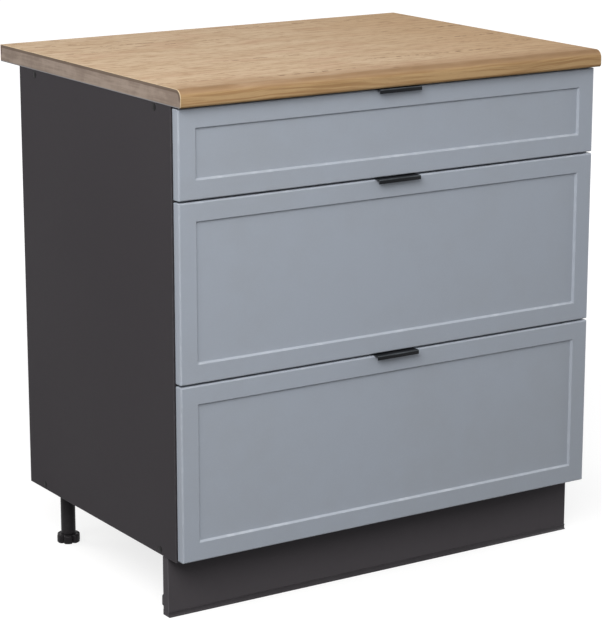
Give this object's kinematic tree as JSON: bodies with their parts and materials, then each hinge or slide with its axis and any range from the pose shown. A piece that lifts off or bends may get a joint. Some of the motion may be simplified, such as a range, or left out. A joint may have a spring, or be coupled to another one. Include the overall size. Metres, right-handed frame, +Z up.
{
  "type": "base cabinet with drawers",
  "caption": "Kitchen base cabinet with a shallow and two deep framed drawers on ball-bearing runners, a wood-look worktop, edge pull handles, a recessed plinth and adjustable legs.",
  "frame": {"origin": "on the floor, under the centre of the cabinet's bounding box", "axes": "+X to the right along the drawer fronts, +Y towards the wall (drawers open towards -Y), +Z up"},
  "size_m": [0.802, 0.6, 0.848],
  "materials": {
    "graphite_board": "matt graphite faced chipboard",
    "plinth_board": "matt graphite faced chipboard",
    "fibreboard": "hard fibreboard, painted grey on the inside",
    "white_board": "fine textured white faced chipboard",
    "drawer_base": "white painted hard fibreboard",
    "grey_blue_front": "matt grey-blue lacquer on fibreboard",
    "oak_laminate": "satin oak pattern laminate on chipboard",
    "end_band": "grey-brown edge band",
    "black_metal": "matt black powder coat",
    "black_plastic": "moulded black plastic",
    "graphite_plastic": "matt graphite plastic",
    "runner_steel": "zinc plated sheet steel",
    "zinc_steel": "zinc plated steel"
  },
  "bodies": {
    "carcass": {"side_panel_left": "graphite_board", "side_panel_right": "graphite_board", "bottom_panel": "graphite_board", "front_rail": "graphite_board", "rear_rail": "graphite_board", "back_panel": "fibreboard", "back_panel_nails": "zinc_steel", "carcass_screws": "zinc_steel", "screw_caps": "graphite_plastic", "worktop": "oak_laminate", "worktop_end_strips": "end_band", "worktop_screws": "zinc_steel", "plinth_board": "plinth_board", "plinth_seal": "black_plastic", "plinth_clips": "black_plastic", "leg_sockets": "black_plastic", "leg_tubes": "black_plastic", "runner_cabinet_channels": "runner_steel", "carcass_fixing_screws": "zinc_steel"},
    "foot_front_left": {"foot_front_left": "black_plastic"},
    "foot_front_right": {"foot_front_right": "black_plastic"},
    "foot_rear_left": {"foot_rear_left": "black_plastic"},
    "foot_rear_right": {"foot_rear_right": "black_plastic"},
    "drawer_top": {"front_top": "grey_blue_front", "handle_top": "black_metal", "box_side_left_top": "white_board", "box_side_right_top": "white_board", "box_front_top": "white_board", "box_back_top": "white_board", "box_bottom_top": "drawer_base", "corner_screws_top": "zinc_steel", "front_screws_top": "zinc_steel", "runner_drawer_channels_top": "runner_steel", "small_screws_top": "zinc_steel"},
    "runner_top": {"runner_middle_channels_top": "runner_steel"},
    "drawer_middle": {"front_middle": "grey_blue_front", "handle_middle": "black_metal", "box_side_left_middle": "white_board", "box_side_right_middle": "white_board", "box_front_middle": "white_board", "box_back_middle": "white_board", "box_bottom_middle": "drawer_base", "corner_screws_middle": "zinc_steel", "front_screws_middle": "zinc_steel", "runner_drawer_channels_middle": "runner_steel", "small_screws_middle": "zinc_steel"},
    "runner_middle": {"runner_middle_channels_middle": "runner_steel"},
    "drawer_bottom": {"front_bottom": "grey_blue_front", "handle_bottom": "black_metal", "box_side_left_bottom": "white_board", "box_side_right_bottom": "white_board", "box_front_bottom": "white_board", "box_back_bottom": "white_board", "box_bottom_bottom": "drawer_base", "corner_screws_bottom": "zinc_steel", "front_screws_bottom": "zinc_steel", "runner_drawer_channels_bottom": "runner_steel", "small_screws_bottom": "zinc_steel"},
    "runner_bottom": {"runner_middle_channels_bottom": "runner_steel"}
  },
  "joints": [
    {"name": "foot_front_left_screw", "type": "slide", "parent": "carcass", "child": "foot_front_left", "axis": [0, 0, -1], "range_m": [0, 0.02]},
    {"name": "foot_front_right_screw", "type": "slide", "parent": "carcass", "child": "foot_front_right", "axis": [0, 0, -1], "range_m": [0, 0.02]},
    {"name": "foot_rear_left_screw", "type": "slide", "parent": "carcass", "child": "foot_rear_left", "axis": [0, 0, -1], "range_m": [0, 0.02]},
    {"name": "foot_rear_right_screw", "type": "slide", "parent": "carcass", "child": "foot_rear_right", "axis": [0, 0, -1], "range_m": [0, 0.02]},
    {"name": "drawer_top_slide", "type": "slide", "parent": "carcass", "child": "drawer_top", "axis": [0, -1, 0], "range_m": [0, 0.45]},
    {"name": "runner_top_slide", "type": "slide", "parent": "carcass", "child": "runner_top", "axis": [0, -1, 0], "range_m": [0, 0.225]},
    {"name": "drawer_middle_slide", "type": "slide", "parent": "carcass", "child": "drawer_middle", "axis": [0, -1, 0], "range_m": [0, 0.45]},
    {"name": "runner_middle_slide", "type": "slide", "parent": "carcass", "child": "runner_middle", "axis": [0, -1, 0], "range_m": [0, 0.225]},
    {"name": "drawer_bottom_slide", "type": "slide", "parent": "carcass", "child": "drawer_bottom", "axis": [0, -1, 0], "range_m": [0, 0.45]},
    {"name": "runner_bottom_slide", "type": "slide", "parent": "carcass", "child": "runner_bottom", "axis": [0, -1, 0], "range_m": [0, 0.225]}
  ],
  "couplings": [
    {"joint": "runner_top_slide", "follows": "drawer_top_slide", "ratio": 0.5},
    {"joint": "runner_middle_slide", "follows": "drawer_middle_slide", "ratio": 0.5},
    {"joint": "runner_bottom_slide", "follows": "drawer_bottom_slide", "ratio": 0.5}
  ]
}
